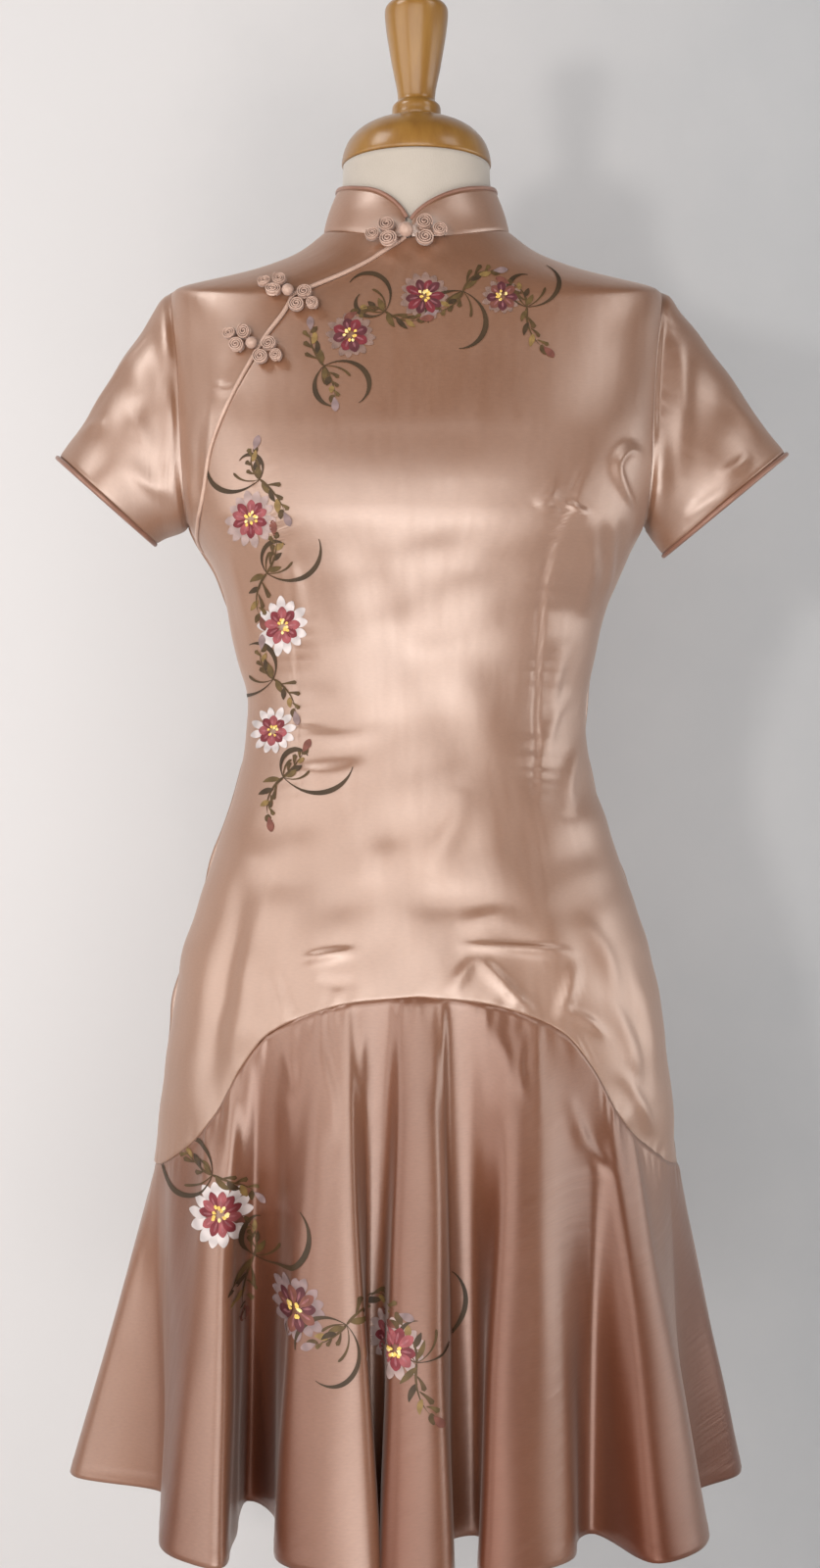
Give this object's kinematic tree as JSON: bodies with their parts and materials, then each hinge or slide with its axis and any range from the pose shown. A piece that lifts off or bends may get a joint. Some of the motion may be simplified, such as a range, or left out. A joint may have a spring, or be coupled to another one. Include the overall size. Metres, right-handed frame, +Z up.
{
  "type": "cheongsam dress on limbless dress form",
  "caption": "Short-sleeved satin cheongsam with a standing collar, slanted frog-fastened opening, arched yoke seam and full flounce, worn by a limbless dress form on a round base.",
  "frame": {"origin": "middle of the dress form's flat underside, on the floor", "axes": "+Z up; the front of the dress faces -Y; the wearer's left is +X"},
  "size_m": [0.5736, 0.457, 1.5835],
  "materials": {
    "satin": "dusty rose satin, glossy, with painted flowers",
    "piping": "satin bias binding, a little darker",
    "frog_cord": "coiled satin cord",
    "jersey": "cream knit cover, matte",
    "turned_wood": "honey varnish, glossy",
    "pole": "satin"
  },
  "bodies": {
    "root": {"front_bodice": "satin", "front_underlap": "satin", "back_bodice": "satin", "flounce_front": "satin", "flounce_back": "satin", "sleeve_left": "satin", "sleeve_right": "satin", "collar": "satin", "collar_piping": "piping", "opening_piping": "piping", "cuff_piping_left": "piping", "cuff_piping_right": "piping", "frog_neck_loop": "frog_cord", "frog_neck_button": "frog_cord", "frog_neck_ball": "frog_cord", "frog_chest_loop": "frog_cord", "frog_chest_button": "frog_cord", "frog_chest_ball": "frog_cord", "frog_side_loop": "frog_cord", "frog_side_button": "frog_cord", "frog_side_ball": "frog_cord", "form_body": "jersey", "form_cap": "turned_wood", "form_finial": "turned_wood", "form_base": "turned_wood", "form_pole": "pole"}
  },
  "joints": []
}
